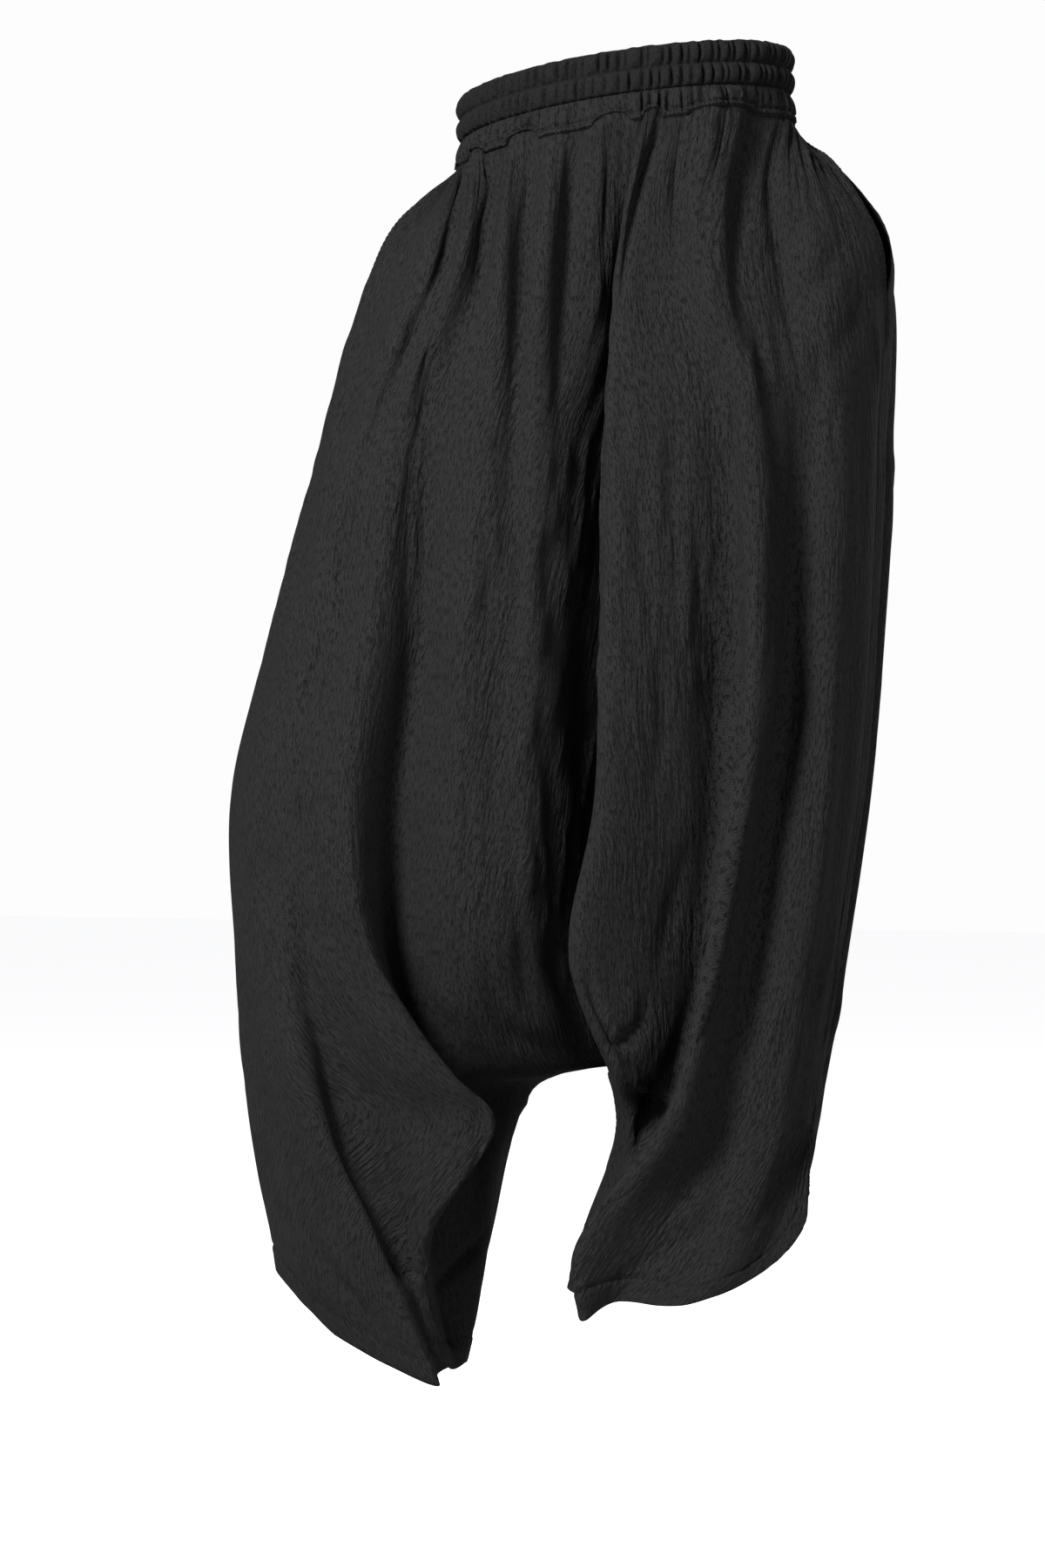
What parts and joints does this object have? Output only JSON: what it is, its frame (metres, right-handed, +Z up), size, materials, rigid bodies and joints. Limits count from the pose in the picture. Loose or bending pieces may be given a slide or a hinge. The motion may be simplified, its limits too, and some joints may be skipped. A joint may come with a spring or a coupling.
{
  "type": "harem pants",
  "caption": "Drop-crotch harem pants in crinkled cloth, with a shirred elastic waistband, a gathered yoke, side pockets and curved, pointed hems.",
  "frame": {"origin": "centre of the waist opening, at half the height of the waistband", "axes": "+Z up, -Y towards the garment's centre front, +X towards the wearer's left"},
  "size_m": [0.5192, 0.4165, 1.0432],
  "materials": {
    "waistband": "matt",
    "yoke": "matt",
    "panels": "matt",
    "pocket_bags": "matt"
  },
  "bodies": {
    "root": {"waistband": "waistband", "yoke_front": "yoke", "yoke_back": "yoke", "front_right": "panels", "front_left": "panels", "back_right": "panels", "back_left": "panels", "pocket_bag_right": "pocket_bags", "pocket_bag_left": "pocket_bags"}
  },
  "joints": []
}
